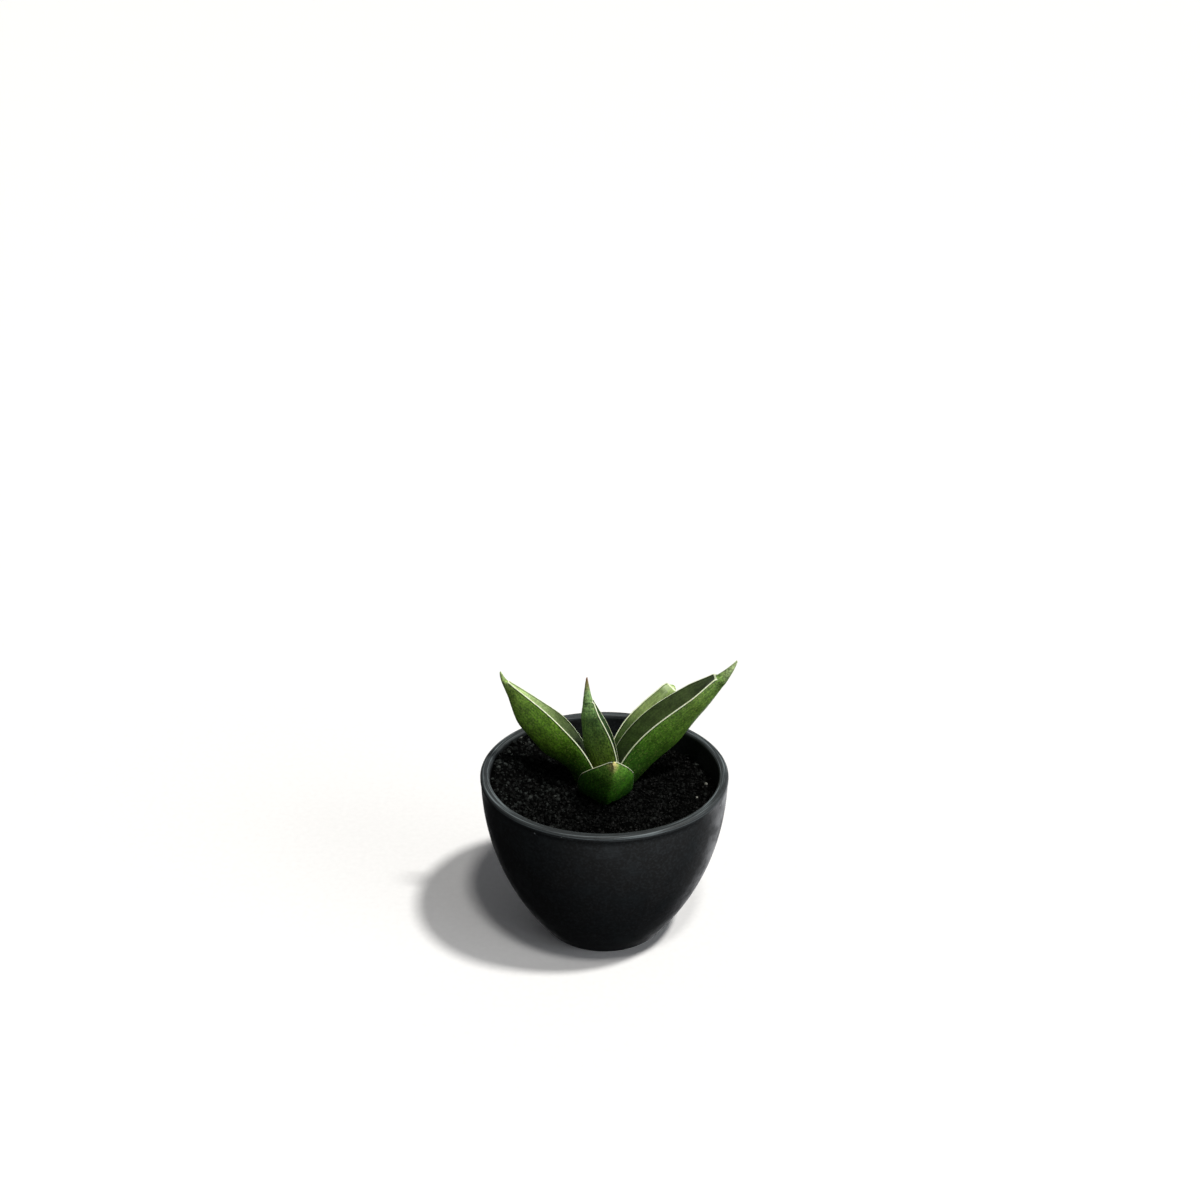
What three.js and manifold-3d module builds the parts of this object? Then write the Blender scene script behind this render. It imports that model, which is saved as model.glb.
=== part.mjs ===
// A small snake plant hybrid in a round tapering pot, in millimetres, +Z up.
// The origin is the middle of the pot's flat underside. The widest leaf points along +X.
import * as THREE from 'three';
import { mergeVertices } from 'three/addons/utils/BufferGeometryUtils.js';
import Module from 'manifold-3d';

const wasm = await Module();
wasm.setup();

// Pot: a bowl-sided cup with a thick rim
const RIM_RADIUS = 54;
const FOOT_RADIUS = 27;
const POT_HEIGHT = 76.2;
const WALL = 4;
const FLOOR = 5;
const BOWL_POWER = 2.18;
const BOWL_FULLNESS = 0.96;
const EDGE_ROUND = 1.2;
const WALL_LEVELS = 8;
const POT_SIDES = 48;
const DRAIN_RADIUS = 3.5;
const DRAIN_CIRCLE = 14;
const DRAIN_COUNT = 4;
const DRAIN_SIDES = 16;

// Free room left between pieces that touch
const CLEARANCE = 0.3;
const CUT_CLEARANCE = 0.35;

// Soil: fine grit, banked up against the wall on the left
const SOIL_LEVEL = 64.8;
const SOIL_BANK = 7.2;
const BANK_HEADING = 162;
const BANK_SPREAD = [12, 62];
const BANK_REACH = [24, 49];
const SOIL_RINGS = 13;
const LUMPS = [
  { length: 10.3, heading: 20, rise: 0.22 },
  { length: 9.1, heading: 95, rise: 0.2 },
  { length: 7.4, heading: 155, rise: 0.17 },
  { length: 6.2, heading: 58, rise: 0.14 },
];
const CRUMB_COUNT = 34;
const CRUMB_RADIUS = [0.8, 1.7];
const CRUMB_ROOM = 19;
const CRUMB_SEED = 20;

// Crown: the squat stem that carries the leaves, and its stout roots
const CROWN_CENTRE = [-1, 6];
const CROWN_TOP = 60 - CLEARANCE;
const CROWN_RADIUS = 13.5;
const CROWN_NECK = 8;
const CROWN_DEPTH = 17;
const CROWN_SIDES = 24;
const ROOT_COUNT = 5;
const ROOT_RADIUS = 1.7;
const ROOT_REACH = 17;
const ROOT_TOP = CROWN_TOP - 9;
const ROOT_BEND = CROWN_TOP - 16;
const ROOT_END = 20;

// Leaf section: a deep rounded back, a channelled face, and a horny margin along each edge
const LEAF_FOOT_LEVEL = 60;
const BACK_ROUNDNESS = 1.5;
const BACK_FULLNESS = 0.6;
const FACE_ROUNDNESS = 1.5;
const MARGIN_WIDTH = 0.75;
const MARGIN_RISE = 0.15;
const MARGIN_DROP = 0.3;
const BACK_STEPS = [0.3, 0.6, 0.84, 0.95];
const FACE_STEPS = [1, 0.66, 0.33];
const RISE_STATIONS = [0, 0.3, 0.65, 1];
const WALK_STEPS = 400;
const TIP_CROWDING = 1.25;
const TIP_CLOSING = 0.92;
const CHANNEL_SHARE = [0.35, 0.42, 0.45, 0.3, 0, -0.12];

// Each leaf: where its foot stands, its length along the curve, the climb above level at four
// stations, the compass heading and roll at foot and tip, and how the width and the depth run
// from foot to tip. The channel closes at the last station but one, where the spine tip begins.
const LEAVES = {
  leaf_back: {
    foot: [6.5, 14], length: 57, rise: [90, 58, 23.5, 0], heading: [47, 44], roll: [7, 18],
    width: 15.3, depth: 12, stations: [0, 0.2, 0.45, 0.7, 0.95, 1],
    widthShare: [0.9, 1.06, 1, 0.89, 0.85, 0.6], depthShare: [0.75, 0.95, 1, 0.75, 0.45, 0.35],
    tipRound: 4, steps: 16,
  },
  leaf_centre: {
    foot: [6.7, 8], length: 60, rise: [90, 81, 64.5, 88], heading: [180, 183], roll: [1, 3.5],
    width: 12.4, depth: 12.5, stations: [0, 0.2, 0.45, 0.7, 0.8, 1],
    widthShare: [0.9, 1.02, 1, 0.79, 0.33, 0.05], depthShare: [0.95, 0.96, 1, 0.7, 0.39, 0.07],
    tipRound: 0.8, steps: 18,
  },
  leaf_right: {
    foot: [2.3, 9.7], length: 87.5, rise: [90, 56, 34, 43.5], heading: [3.5, 2.5], roll: [1.5, 0.5],
    width: 16.9, depth: 17.2, stations: [0, 0.2, 0.45, 0.7, 0.86, 1],
    widthShare: [0.9, 1.03, 1, 0.79, 0.3, 0.04], depthShare: [0.57, 0.87, 1, 0.69, 0.36, 0.07],
    tipRound: 0.8, steps: 22,
  },
  leaf_left: {
    foot: [-5.4, 9.7], length: 75.5, rise: [90, 68, 39.5, 57], heading: [187, 183.5], roll: [4, 3],
    width: 17, depth: 15.9, stations: [0, 0.2, 0.45, 0.68, 0.86, 1],
    widthShare: [0.9, 1.07, 1, 0.6, 0.24, 0.04], depthShare: [0.54, 0.66, 0.98, 0.84, 0.4, 0.06],
    tipRound: 0.8, steps: 20,
  },
  leaf_front: {
    foot: [0, 1.5], length: 44, rise: [90, 59.5, 40, 52.5], heading: [-84, -79], roll: [-4.5, -4],
    width: 23.2, depth: 11, stations: [0, 0.2, 0.45, 0.7, 0.88, 1],
    widthShare: [0.6, 0.98, 1, 0.77, 0.41, 0.04], depthShare: [0.8, 0.95, 1, 0.75, 0.4, 0.07],
    tipRound: 0.8, steps: 15,
  },
};

const radians = THREE.MathUtils.degToRad;

// A closed mesh with shared vertices and nothing but positions
function welded(geometry) {
  geometry.deleteAttribute('normal');
  geometry.deleteAttribute('uv');
  return mergeVertices(geometry, 1e-4);
}

function toSolid(geometry) {
  const closed = welded(geometry);
  return new wasm.Manifold(new wasm.Mesh({
    numProp: 3,
    vertProperties: Float32Array.from(closed.attributes.position.array),
    triVerts: Uint32Array.from(closed.index.array),
  }));
}

function toGeometry(solid) {
  const mesh = solid.getMesh();
  const geometry = new THREE.BufferGeometry();
  geometry.setAttribute('position', new THREE.BufferAttribute(mesh.vertProperties, 3));
  geometry.setIndex(new THREE.BufferAttribute(mesh.triVerts, 1));
  geometry.computeVertexNormals();
  return geometry;
}

// The largest connected body, which drops any loose scrap a cut has left
function mainBody(solid) {
  return solid.decompose().sort((a, b) => b.volume() - a.volume())[0];
}

// A smooth curve through the stations that never overshoots them
function through(stations, values, t) {
  const last = stations.length - 1;
  const slope = (i) => (values[i + 1] - values[i]) / (stations[i + 1] - stations[i]);
  const tangent = (i) => {
    const before = slope(Math.max(i - 1, 0));
    const after = slope(Math.min(i, last - 1));
    return before * after <= 0 ? 0 : (2 * before * after) / (before + after);
  };
  const i = Math.max(0, stations.findIndex((station) => t <= station) - 1);
  const span = stations[i + 1] - stations[i];
  const s = (t - stations[i]) / span;
  return (2 * s ** 3 - 3 * s ** 2 + 1) * values[i] + (s ** 3 - 2 * s ** 2 + s) * span * tangent(i)
    + (3 * s ** 2 - 2 * s ** 3) * values[i + 1] + (s ** 3 - s ** 2) * span * tangent(i + 1);
}

// The pot's outer radius at a height, and the radius of a wall set in from it
function bowlRadius(z) {
  const fall = (1 - z / POT_HEIGHT) ** BOWL_POWER;
  return FOOT_RADIUS + (RIM_RADIUS - FOOT_RADIUS) * (1 - fall) ** BOWL_FULLNESS;
}

function insetRadius(z, inset) {
  const slope = (bowlRadius(z + 0.1) - bowlRadius(z - 0.1)) / 0.2;
  return bowlRadius(z) - inset * Math.hypot(1, slope);
}

function insetLevels(low, high) {
  return Array.from({ length: WALL_LEVELS + 1 }, (_, i) => low + ((high - low) * i) / WALL_LEVELS);
}

const upright = new THREE.Matrix4().makeRotationX(Math.PI / 2);

function lathe(profile, sides) {
  return new THREE.LatheGeometry(profile, sides).applyMatrix4(upright);
}

function arc(x, z, radius, from, to, steps = 3) {
  return Array.from({ length: steps + 1 }, (_, i) => {
    const angle = radians(from + ((to - from) * i) / steps);
    return new THREE.Vector2(x + radius * Math.cos(angle), z + radius * Math.sin(angle));
  });
}

const INNER_TOP = POT_HEIGHT - EDGE_ROUND;

function potSolid() {
  const outer = insetLevels(EDGE_ROUND, INNER_TOP).map((z) => new THREE.Vector2(bowlRadius(z), z));
  const inner = insetLevels(FLOOR, INNER_TOP).map((z) => new THREE.Vector2(insetRadius(z, WALL), z));
  const profile = [
    new THREE.Vector2(0, 0),
    new THREE.Vector2(FOOT_RADIUS - EDGE_ROUND / 2, 0),
    ...outer,
    ...arc(RIM_RADIUS - EDGE_ROUND, INNER_TOP, EDGE_ROUND, 0, 90).slice(1),
    ...arc(RIM_RADIUS - WALL + EDGE_ROUND, INNER_TOP, EDGE_ROUND, 90, 180).slice(0, -1),
    ...inner.reverse(),
    new THREE.Vector2(0, FLOOR),
  ];
  let pot = toSolid(lathe(profile, POT_SIDES));
  for (let i = 0; i < DRAIN_COUNT; i += 1) {
    const angle = radians(45 + (360 * i) / DRAIN_COUNT);
    const drill = new THREE.CylinderGeometry(DRAIN_RADIUS, DRAIN_RADIUS, 3 * FLOOR, DRAIN_SIDES)
      .applyMatrix4(upright)
      .translate(DRAIN_CIRCLE * Math.cos(angle), DRAIN_CIRCLE * Math.sin(angle), FLOOR / 2);
    pot = pot.subtract(toSolid(drill));
  }
  return pot;
}

// The same stream of random numbers on every run
function randomStream(seed) {
  let state = seed;
  return () => {
    state = (state * 1664525 + 1013904223) % 4294967296;
    return state / 4294967296;
  };
}

// Height of the soil's surface: a level bed, a bank against the wall, and rolling lumps of grit
function soilHeight(x, y) {
  const heading = THREE.MathUtils.radToDeg(Math.atan2(y, x));
  const off = Math.abs(THREE.MathUtils.euclideanModulo(heading - BANK_HEADING + 180, 360) - 180);
  const bank = THREE.MathUtils.smoothstep(Math.hypot(x, y), ...BANK_REACH)
    * (1 - THREE.MathUtils.smoothstep(off, ...BANK_SPREAD));
  let height = SOIL_LEVEL + SOIL_BANK * bank;
  for (const lump of LUMPS) {
    const along = x * Math.cos(radians(lump.heading)) + y * Math.sin(radians(lump.heading));
    height += lump.rise * Math.sin((2 * Math.PI * along) / lump.length);
  }
  return height;
}

function soilBed() {
  const inset = WALL + CLEARANCE;
  const low = FLOOR + CLEARANCE;
  const wall = insetLevels(FLOOR, INNER_TOP)
    .map((z) => Math.max(z, low))
    .filter((z) => z < SOIL_LEVEL - 2)
    .map((z) => new THREE.Vector2(insetRadius(z, inset), z));
  const edge = insetRadius(SOIL_LEVEL, inset);
  const top = Array.from({ length: SOIL_RINGS + 1 }, (_, i) => (
    new THREE.Vector2(edge * (1 - i / SOIL_RINGS), SOIL_LEVEL)));
  const bed = lathe([new THREE.Vector2(0, low), ...wall, ...top], POT_SIDES);
  const place = bed.attributes.position;
  for (let i = 0; i < place.count; i += 1) {
    const x = place.getX(i);
    const y = place.getY(i);
    const z = soilHeight(x, y);
    const atWall = Math.hypot(x, y) > edge - 0.5;
    const spread = atWall ? insetRadius(z, inset) / edge : 1;
    const onTop = place.getZ(i) > SOIL_LEVEL - 1;
    if (onTop) place.setXYZ(i, x * spread, y * spread, z);
  }
  return toSolid(bed);
}

// Coarser grains, sunk about half into the bed
function crumbs() {
  const random = randomStream(CRUMB_SEED);
  const reach = insetRadius(SOIL_LEVEL, WALL) - 4;
  const grains = [];
  while (grains.length < CRUMB_COUNT) {
    const radius = reach * Math.sqrt(random());
    const angle = 2 * Math.PI * random();
    const size = CRUMB_RADIUS[0] + (CRUMB_RADIUS[1] - CRUMB_RADIUS[0]) * random() ** 2;
    const turn = new THREE.Euler(3 * random(), 3 * random(), 3 * random());
    const x = radius * Math.cos(angle);
    const y = radius * Math.sin(angle);
    const clear = Math.hypot(x - CROWN_CENTRE[0], y - CROWN_CENTRE[1]) > CRUMB_ROOM;
    if (clear) {
      const grain = new THREE.IcosahedronGeometry(size, 0);
      grain.applyMatrix4(new THREE.Matrix4().makeRotationFromEuler(turn));
      grain.scale(1, 0.85, 0.7);
      grain.translate(x, y, soilHeight(x, y) + 0.1 * size);
      grains.push(toSolid(grain));
    }
  }
  return wasm.Manifold.union(grains);
}

function crownSolid(grow = 0) {
  const [x, y] = CROWN_CENTRE;
  const profile = [
    new THREE.Vector2(0, CROWN_TOP - CROWN_DEPTH - grow),
    ...arc(0, CROWN_TOP - CROWN_DEPTH + CROWN_NECK, CROWN_NECK + grow, -70, 0),
    new THREE.Vector2(CROWN_RADIUS - 1.5 + grow, CROWN_TOP - 4),
    new THREE.Vector2(CROWN_RADIUS + grow, CROWN_TOP - 1),
    new THREE.Vector2(CROWN_RADIUS + grow, CROWN_TOP + grow),
    new THREE.Vector2(0, CROWN_TOP + grow),
  ];
  const parts = [toSolid(lathe(profile, CROWN_SIDES).translate(x, y, 0))];
  for (let i = 0; i < ROOT_COUNT; i += 1) {
    const angle = (2 * Math.PI * (i + 0.2 * Math.sin(5 * i))) / ROOT_COUNT;
    const reach = ROOT_REACH * (0.8 + 0.2 * Math.cos(3 * i));
    const end = ROOT_END + 5 * Math.sin(2 * i) - grow;
    const along = (share, z) => new THREE.Vector3(
      x + reach * share * Math.cos(angle), y + reach * share * Math.sin(angle), z);
    const route = new THREE.CatmullRomCurve3([
      along(0.25, ROOT_TOP), along(0.72, ROOT_BEND), along(0.95, (ROOT_BEND + end) / 2), along(1, end),
    ]);
    const section = new THREE.Shape().absarc(0, 0, ROOT_RADIUS + grow, 0, 2 * Math.PI);
    parts.push(toSolid(new THREE.ExtrudeGeometry(section, {
      extrudePath: route, steps: 7, curveSegments: 4, bevelEnabled: false,
    })));
  }
  return wasm.Manifold.union(parts);
}

// The outline of a leaf cut square across, counter-clockwise from the keel. u runs across the leaf
// and v out of its face, with the margins at v = 0.
function sectionRing({ width, depth, channel, lip }) {
  const half = width / 2;
  const band = Math.min(MARGIN_WIDTH, 0.3 * half);
  const face = half - 1.5 * band;
  const back = BACK_STEPS.map((s) => [s * half, -depth * (1 - s ** BACK_ROUNDNESS) ** BACK_FULLNESS]);
  const front = FACE_STEPS.map((s) => [s * face, -MARGIN_DROP * lip - channel * (1 - s ** FACE_ROUNDNESS)]);
  const rightHalf = [...back, [half, 0], [half - band, MARGIN_RISE * lip], ...front];
  const leftHalf = rightHalf.map(([u, v]) => [-u, v]).reverse();
  return [[0, -depth], ...rightHalf, [0, -MARGIN_DROP * lip - channel], ...leftHalf]
    .map(([u, v]) => new THREE.Vector2(u, v));
}

// The same outline moved outwards by a distance, each corner along the mean of its edges' normals
function swollen(ring, distance) {
  const middle = new THREE.Vector2();
  const edgeNormal = (from, to) => to.clone().sub(from).normalize().rotateAround(middle, -Math.PI / 2);
  return ring.map((corner, i) => {
    const before = edgeNormal(ring.at(i - 1), corner);
    const after = edgeNormal(corner, ring[(i + 1) % ring.length]);
    const reach = distance / Math.max(0.4, 1 + before.dot(after));
    return corner.clone().addScaledVector(before.add(after), reach);
  });
}

// Points and directions along the leaf's middle line, evenly spaced from foot to tip
function walkLeaf(leaf, count) {
  const point = new THREE.Vector3(leaf.foot[0], leaf.foot[1], LEAF_FOOT_LEVEL);
  const frames = [];
  for (let i = 0; i <= count; i += 1) {
    const t = i / count;
    const climb = radians(through(RISE_STATIONS, leaf.rise, t));
    const heading = radians(THREE.MathUtils.lerp(leaf.heading[0], leaf.heading[1], t));
    const roll = radians(THREE.MathUtils.lerp(leaf.roll[0], leaf.roll[1], t));
    const level = new THREE.Vector3(Math.cos(heading), Math.sin(heading), 0);
    const along = level.clone().multiplyScalar(Math.cos(climb)).setZ(Math.sin(climb));
    const side = new THREE.Vector3(-Math.sin(heading), Math.cos(heading), 0).applyAxisAngle(along, roll);
    const out = new THREE.Vector3().crossVectors(along, side);
    if (i > 0) point.addScaledVector(along.clone().add(frames[i - 1].along), leaf.length / count / 2);
    frames.push({ point: point.clone(), along, side, out });
  }
  return frames;
}

// -1 at the foot, 1 at the tip, and 0 between them
function endSign(share) {
  return (share > 0.999) - (share < 0.001);
}

// A cylinder whose rings are carried to the leaf's sections. grow swells it for cutting its room.
function leafSolid(leaf, grow = 0) {
  const frames = walkLeaf(leaf, WALK_STEPS);
  const ringSize = 2 * (BACK_STEPS.length + FACE_STEPS.length + 2) + 2;
  const body = welded(new THREE.CylinderGeometry(1, 1, 1, ringSize, leaf.steps));
  const place = body.attributes.position;
  const rounding = leaf.tipRound / leaf.length;
  for (let i = 0; i < place.count; i += 1) {
    const stepShare = place.getY(i) + 0.5;
    const t = 1 - (1 - stepShare) ** TIP_CROWDING;
    const frame = frames[Math.round(t * WALK_STEPS)];
    const close = Math.sqrt(1 - (TIP_CLOSING * Math.max(0, 1 - (1 - t) / rounding)) ** 2);
    const width = leaf.width * through(leaf.stations, leaf.widthShare, t) * close;
    const depth = leaf.depth * through(leaf.stations, leaf.depthShare, t) * close;
    const channel = depth * through(leaf.stations, CHANNEL_SHARE, t);
    const lip = THREE.MathUtils.clamp(width / 5, 0, 1);
    const ring = swollen(sectionRing({ width, depth, channel, lip }), grow);
    const onRim = Math.hypot(place.getX(i), place.getZ(i)) > 0.5;
    const turn = Math.round((Math.atan2(place.getX(i), place.getZ(i)) / (2 * Math.PI)) * ringSize);
    const middle = new THREE.Vector2(0, -(depth + channel) / 2);
    const corner = onRim ? ring.at(turn) : middle;
    const spot = frame.point.clone()
      .addScaledVector(frame.side, corner.x)
      .addScaledVector(frame.out, corner.y)
      .addScaledVector(frame.along, grow * endSign(stepShare));
    place.setXYZ(i, spot.x, spot.y, spot.z);
  }
  return toSolid(body);
}

// Inner leaves come first, and each later leaf is cut to clasp the ones before it
function leafSolids() {
  const done = {};
  let taken = null;
  for (const [name, leaf] of Object.entries(LEAVES)) {
    const whole = leafSolid(leaf);
    done[name] = taken ? mainBody(whole.subtract(taken)) : whole;
    const room = leafSolid(leaf, CUT_CLEARANCE);
    taken = taken ? taken.add(room) : room;
  }
  return { done, taken };
}

const finishes = {
  pot: { color: '#23262a', roughness: 0.55, metalness: 0 },
  soil: { color: '#14110f', roughness: 1, metalness: 0 },
  crown: { color: '#b09a63', roughness: 0.8, metalness: 0 },
  leaf: { color: '#3c6a26', roughness: 0.45, metalness: 0 },
};

const plant = new THREE.Group();

function addPiece(name, solid, finish) {
  const mesh = new THREE.Mesh(toGeometry(solid), new THREE.MeshStandardMaterial(finishes[finish]));
  mesh.name = name;
  plant.add(mesh);
}

const leaves = leafSolids();
const soil = soilBed().add(crumbs()).subtract(leaves.taken).subtract(crownSolid(CUT_CLEARANCE));

addPiece('pot', potSolid(), 'pot');
addPiece('soil', mainBody(soil), 'soil');
addPiece('crown', crownSolid(), 'crown');
for (const [name, solid] of Object.entries(leaves.done)) addPiece(name, solid, 'leaf');

export default plant;
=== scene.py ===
# %% [markdown]
# # A potted snake plant hybrid
# This lesson dresses a young succulent in its pot. The imported model gives plain solids in the right
# places and sizes. Here each of them gets the fine surface and finish that the real thing shows: a
# matt moulded pot, black grit, and five thick waxy leaves with cream margins and spine tips.
# The imported model is loaded first.

# %% Load the imported model
import math
import random

import bmesh
import bpy
from mathutils import Matrix, Vector, noise


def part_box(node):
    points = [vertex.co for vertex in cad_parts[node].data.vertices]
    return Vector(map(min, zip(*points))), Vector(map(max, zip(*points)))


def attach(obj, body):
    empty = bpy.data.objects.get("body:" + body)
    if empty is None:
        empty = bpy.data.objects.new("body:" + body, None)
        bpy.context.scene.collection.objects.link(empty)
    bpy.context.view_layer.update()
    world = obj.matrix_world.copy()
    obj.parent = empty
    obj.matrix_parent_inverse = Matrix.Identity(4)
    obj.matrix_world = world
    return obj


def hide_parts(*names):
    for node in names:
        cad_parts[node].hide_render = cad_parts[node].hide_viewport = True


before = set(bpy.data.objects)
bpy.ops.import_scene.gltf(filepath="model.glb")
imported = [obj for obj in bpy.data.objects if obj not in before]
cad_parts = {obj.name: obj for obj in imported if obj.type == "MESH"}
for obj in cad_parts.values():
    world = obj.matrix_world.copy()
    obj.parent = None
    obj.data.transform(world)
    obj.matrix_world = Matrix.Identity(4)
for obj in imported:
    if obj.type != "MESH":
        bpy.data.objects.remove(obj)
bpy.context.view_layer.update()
print("solids:", sorted(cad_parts))

# %% [markdown]
# ## Camera
# The picture was taken from a little above, with a lens slightly longer than normal. A camera is made
# before anything else, so every later render can be laid over the picture. The lens, the height and
# the tilt were found by laying the pot's rim, sides and foot over the ones in the picture.

# %% Camera
MM = 0.001
CAMERA_PLACE = Vector((-1.9, -591.6, 423.7)) * MM
CAMERA_TILT = 24.24
CAMERA_LENS = 47.0

camera_data = bpy.data.cameras.new("camera")
camera_data.lens = CAMERA_LENS
camera_data.sensor_width = 36.0
camera = bpy.data.objects.new("camera", camera_data)
camera.location = CAMERA_PLACE
camera.rotation_euler = (math.radians(90 - CAMERA_TILT), 0, 0)
bpy.context.collection.objects.link(camera)
bpy.context.scene.camera = camera
print("camera looks down by", CAMERA_TILT, "degrees through", CAMERA_LENS, "mm")

# %% [markdown]
# ## Small tools
# A few helpers serve the whole lesson. One turns a colour from the hex form that painters use into
# the linear numbers that Blender computes with. One adds a shader node with its settings and links.
# The last turns an edited mesh into a finished piece that stands for its solid.

# %% Small tools
def colour(code):
    """The linear colour, with full opacity, of an sRGB hex code."""
    parts = [int(code[i:i + 2], 16) / 255 for i in (1, 3, 5)]
    linear = [p / 12.92 if p <= 0.04045 else ((p + 0.055) / 1.055) ** 2.4 for p in parts]
    return (*linear, 1.0)


def add(tree, kind, inputs=(), stops=(), **settings):
    """Adds a shader node. Its inputs come in order or by name, and each is a number, a hex colour, or
    the node or output socket that feeds it. Stops are a colour ramp's (place, hex colour) pairs."""
    node = tree.nodes.new("ShaderNode" + kind)
    for name, value in settings.items():
        setattr(node, name, value)
    sockets = [socket for socket in node.inputs if socket.enabled]
    if isinstance(inputs, dict):
        named = {socket.name: socket for socket in reversed(sockets)}
        pairs = [(named[name], value) for name, value in inputs.items()]
    else:
        pairs = list(zip(sockets, inputs))
    for socket, value in pairs:
        if isinstance(value, bpy.types.Node):
            value = next(output for output in value.outputs if output.enabled)
        if isinstance(value, bpy.types.NodeSocket):
            tree.links.new(value, socket)
        else:
            socket.default_value = colour(value) if isinstance(value, str) else value
    for place, _ in stops[1:-1]:
        node.color_ramp.elements.new(place)
    for number, (place, code) in enumerate(stops):
        node.color_ramp.elements[number].position = place
        node.color_ramp.elements[number].color = colour(code)
    return node


def new_material(name):
    """A material with an empty node tree."""
    material = bpy.data.materials.new(name)
    material.use_nodes = True
    material.node_tree.nodes.clear()
    return material, material.node_tree


# Settings that many nodes share: a smooth step between two numbers, and a mix of two colours.
STEP = {"interpolation_type": "SMOOTHSTEP"}
BLEND = {"data_type": "RGBA"}
TIMES = {"operation": "MULTIPLY"}


def finish_piece(bm, name, node, material, smooth=True):
    """Makes the edited mesh an object that rides on the root body and stands for a solid."""
    bmesh.ops.recalc_face_normals(bm, faces=bm.faces)
    for face in bm.faces:
        face.smooth = smooth
    mesh = bpy.data.meshes.new(name)
    bm.to_mesh(mesh)
    bm.free()
    piece = bpy.data.objects.new(name, mesh)
    bpy.context.collection.objects.link(piece)
    mesh.materials.append(material)
    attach(piece, "root")
    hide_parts(node)
    print(name, "has", len(mesh.polygons), "faces")
    return piece


print("helpers ready")

# %% [markdown]
# ## The pot's shape
# The pot is a moulded cup. Its side swells like a bowl from a small flat foot and stands upright at
# the rim, which is thick and rounded at both edges, with a faint step where the lip ends. A cup is a
# shape of revolution, so its half section is drawn once and spun round the axis. The section takes
# its height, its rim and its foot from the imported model.

# %% The pot's section
pot_low, pot_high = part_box("pot")
POT_HEIGHT = pot_high[2]
RIM_RADIUS = (pot_high[0] - pot_low[0]) / 2
FOOT_RADIUS = RIM_RADIUS / 2
WALL = 4.0 * MM
FLOOR = 5.0 * MM
FLOOR_ROUND = 2.0 * MM
EDGE_ROUND = 1.2 * MM
LIP_HEIGHT = 2.2 * MM
LIP_PROUD = 0.22 * MM
LIP_BLEND = 0.35 * MM
BOWL_POWER = 2.18
BOWL_FULLNESS = 0.96
POT_STEPS = 160
WALL_POINTS = 30


def bowl_radius(z):
    fall = (1 - min(z / POT_HEIGHT, 1)) ** BOWL_POWER
    return FOOT_RADIUS + (RIM_RADIUS - FOOT_RADIUS) * (1 - fall) ** BOWL_FULLNESS


def inset_radius(z, inset):
    step = 0.1 * MM
    slope = (bowl_radius(z + step) - bowl_radius(z - step)) / (2 * step)
    return bowl_radius(z) - inset * math.hypot(1, slope)


def outer_radius(z):
    """The wall under the lip lies a little further in than the lip itself."""
    under = min(max((POT_HEIGHT - LIP_HEIGHT - z) / LIP_BLEND, 0), 1)
    return bowl_radius(z) - LIP_PROUD * under


def levels(low, high, count):
    return [low + (high - low) * i / count for i in range(count + 1)]


def arc(x, z, radius, start, end, count=6):
    turn = [math.radians(start + (end - start) * i / count) for i in range(count + 1)]
    return [(x + radius * math.cos(a), z + radius * math.sin(a)) for a in turn]


inner_top = POT_HEIGHT - EDGE_ROUND
foot_corner = arc(FOOT_RADIUS - 0.4 * EDGE_ROUND, EDGE_ROUND, EDGE_ROUND, -90, -35, 4)
lip_foot = POT_HEIGHT - LIP_HEIGHT
outer_levels = levels(EDGE_ROUND, lip_foot - LIP_BLEND, WALL_POINTS) + [lip_foot, inner_top]
outer_side = [(outer_radius(z), z) for z in outer_levels]
corner_top = FLOOR + FLOOR_ROUND
inner_side = [(inset_radius(z, WALL), z) for z in levels(inner_top, corner_top, WALL_POINTS)]
floor_corner = arc(inset_radius(corner_top, WALL) - FLOOR_ROUND, corner_top, FLOOR_ROUND, 0, -90, 5)
pot_section = (
    [(0, 0)] + foot_corner[:-1] + outer_side
    + arc(RIM_RADIUS - EDGE_ROUND, inner_top, EDGE_ROUND, 0, 90)[1:]
    + arc(RIM_RADIUS - WALL + EDGE_ROUND, inner_top, EDGE_ROUND, 90, 180)[:-1]
    + inner_side + floor_corner[1:] + [(0, FLOOR)]
)
print("pot", round(2000 * RIM_RADIUS, 1), "mm wide,", round(1000 * POT_HEIGHT, 1), "mm high,",
      len(pot_section), "points in its section")


# %% Spin the section
# Spinning and merging leave the corners, edges and faces in another order on each run. They are
# put in order along a slanting direction, so that every run gives the same mesh.
SLANT = Vector((0.8301, 0.4703, 0.2917))


def spun(section, steps):
    """A closed solid of revolution from a section that starts and ends on the axis."""
    bm = bmesh.new()
    points = [bm.verts.new((x, 0, z)) for x, z in section]
    line = [bm.edges.new(pair) for pair in zip(points, points[1:])]
    bmesh.ops.spin(bm, geom=points + line, cent=(0, 0, 0), axis=(0, 0, 1), angle=2 * math.pi,
                   steps=steps, use_merge=True)
    bmesh.ops.remove_doubles(bm, verts=bm.verts, dist=0.002 * MM)
    bm.verts.sort(key=lambda vert: vert.co.dot(SLANT))
    bm.edges.sort(key=lambda edge: (edge.verts[0].co + edge.verts[1].co).dot(SLANT))
    bm.faces.sort(key=lambda face: face.calc_center_median().dot(SLANT))
    return bm


pot_bm = spun(pot_section, POT_STEPS)
print("spun pot:", len(pot_bm.faces), "faces")

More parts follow.
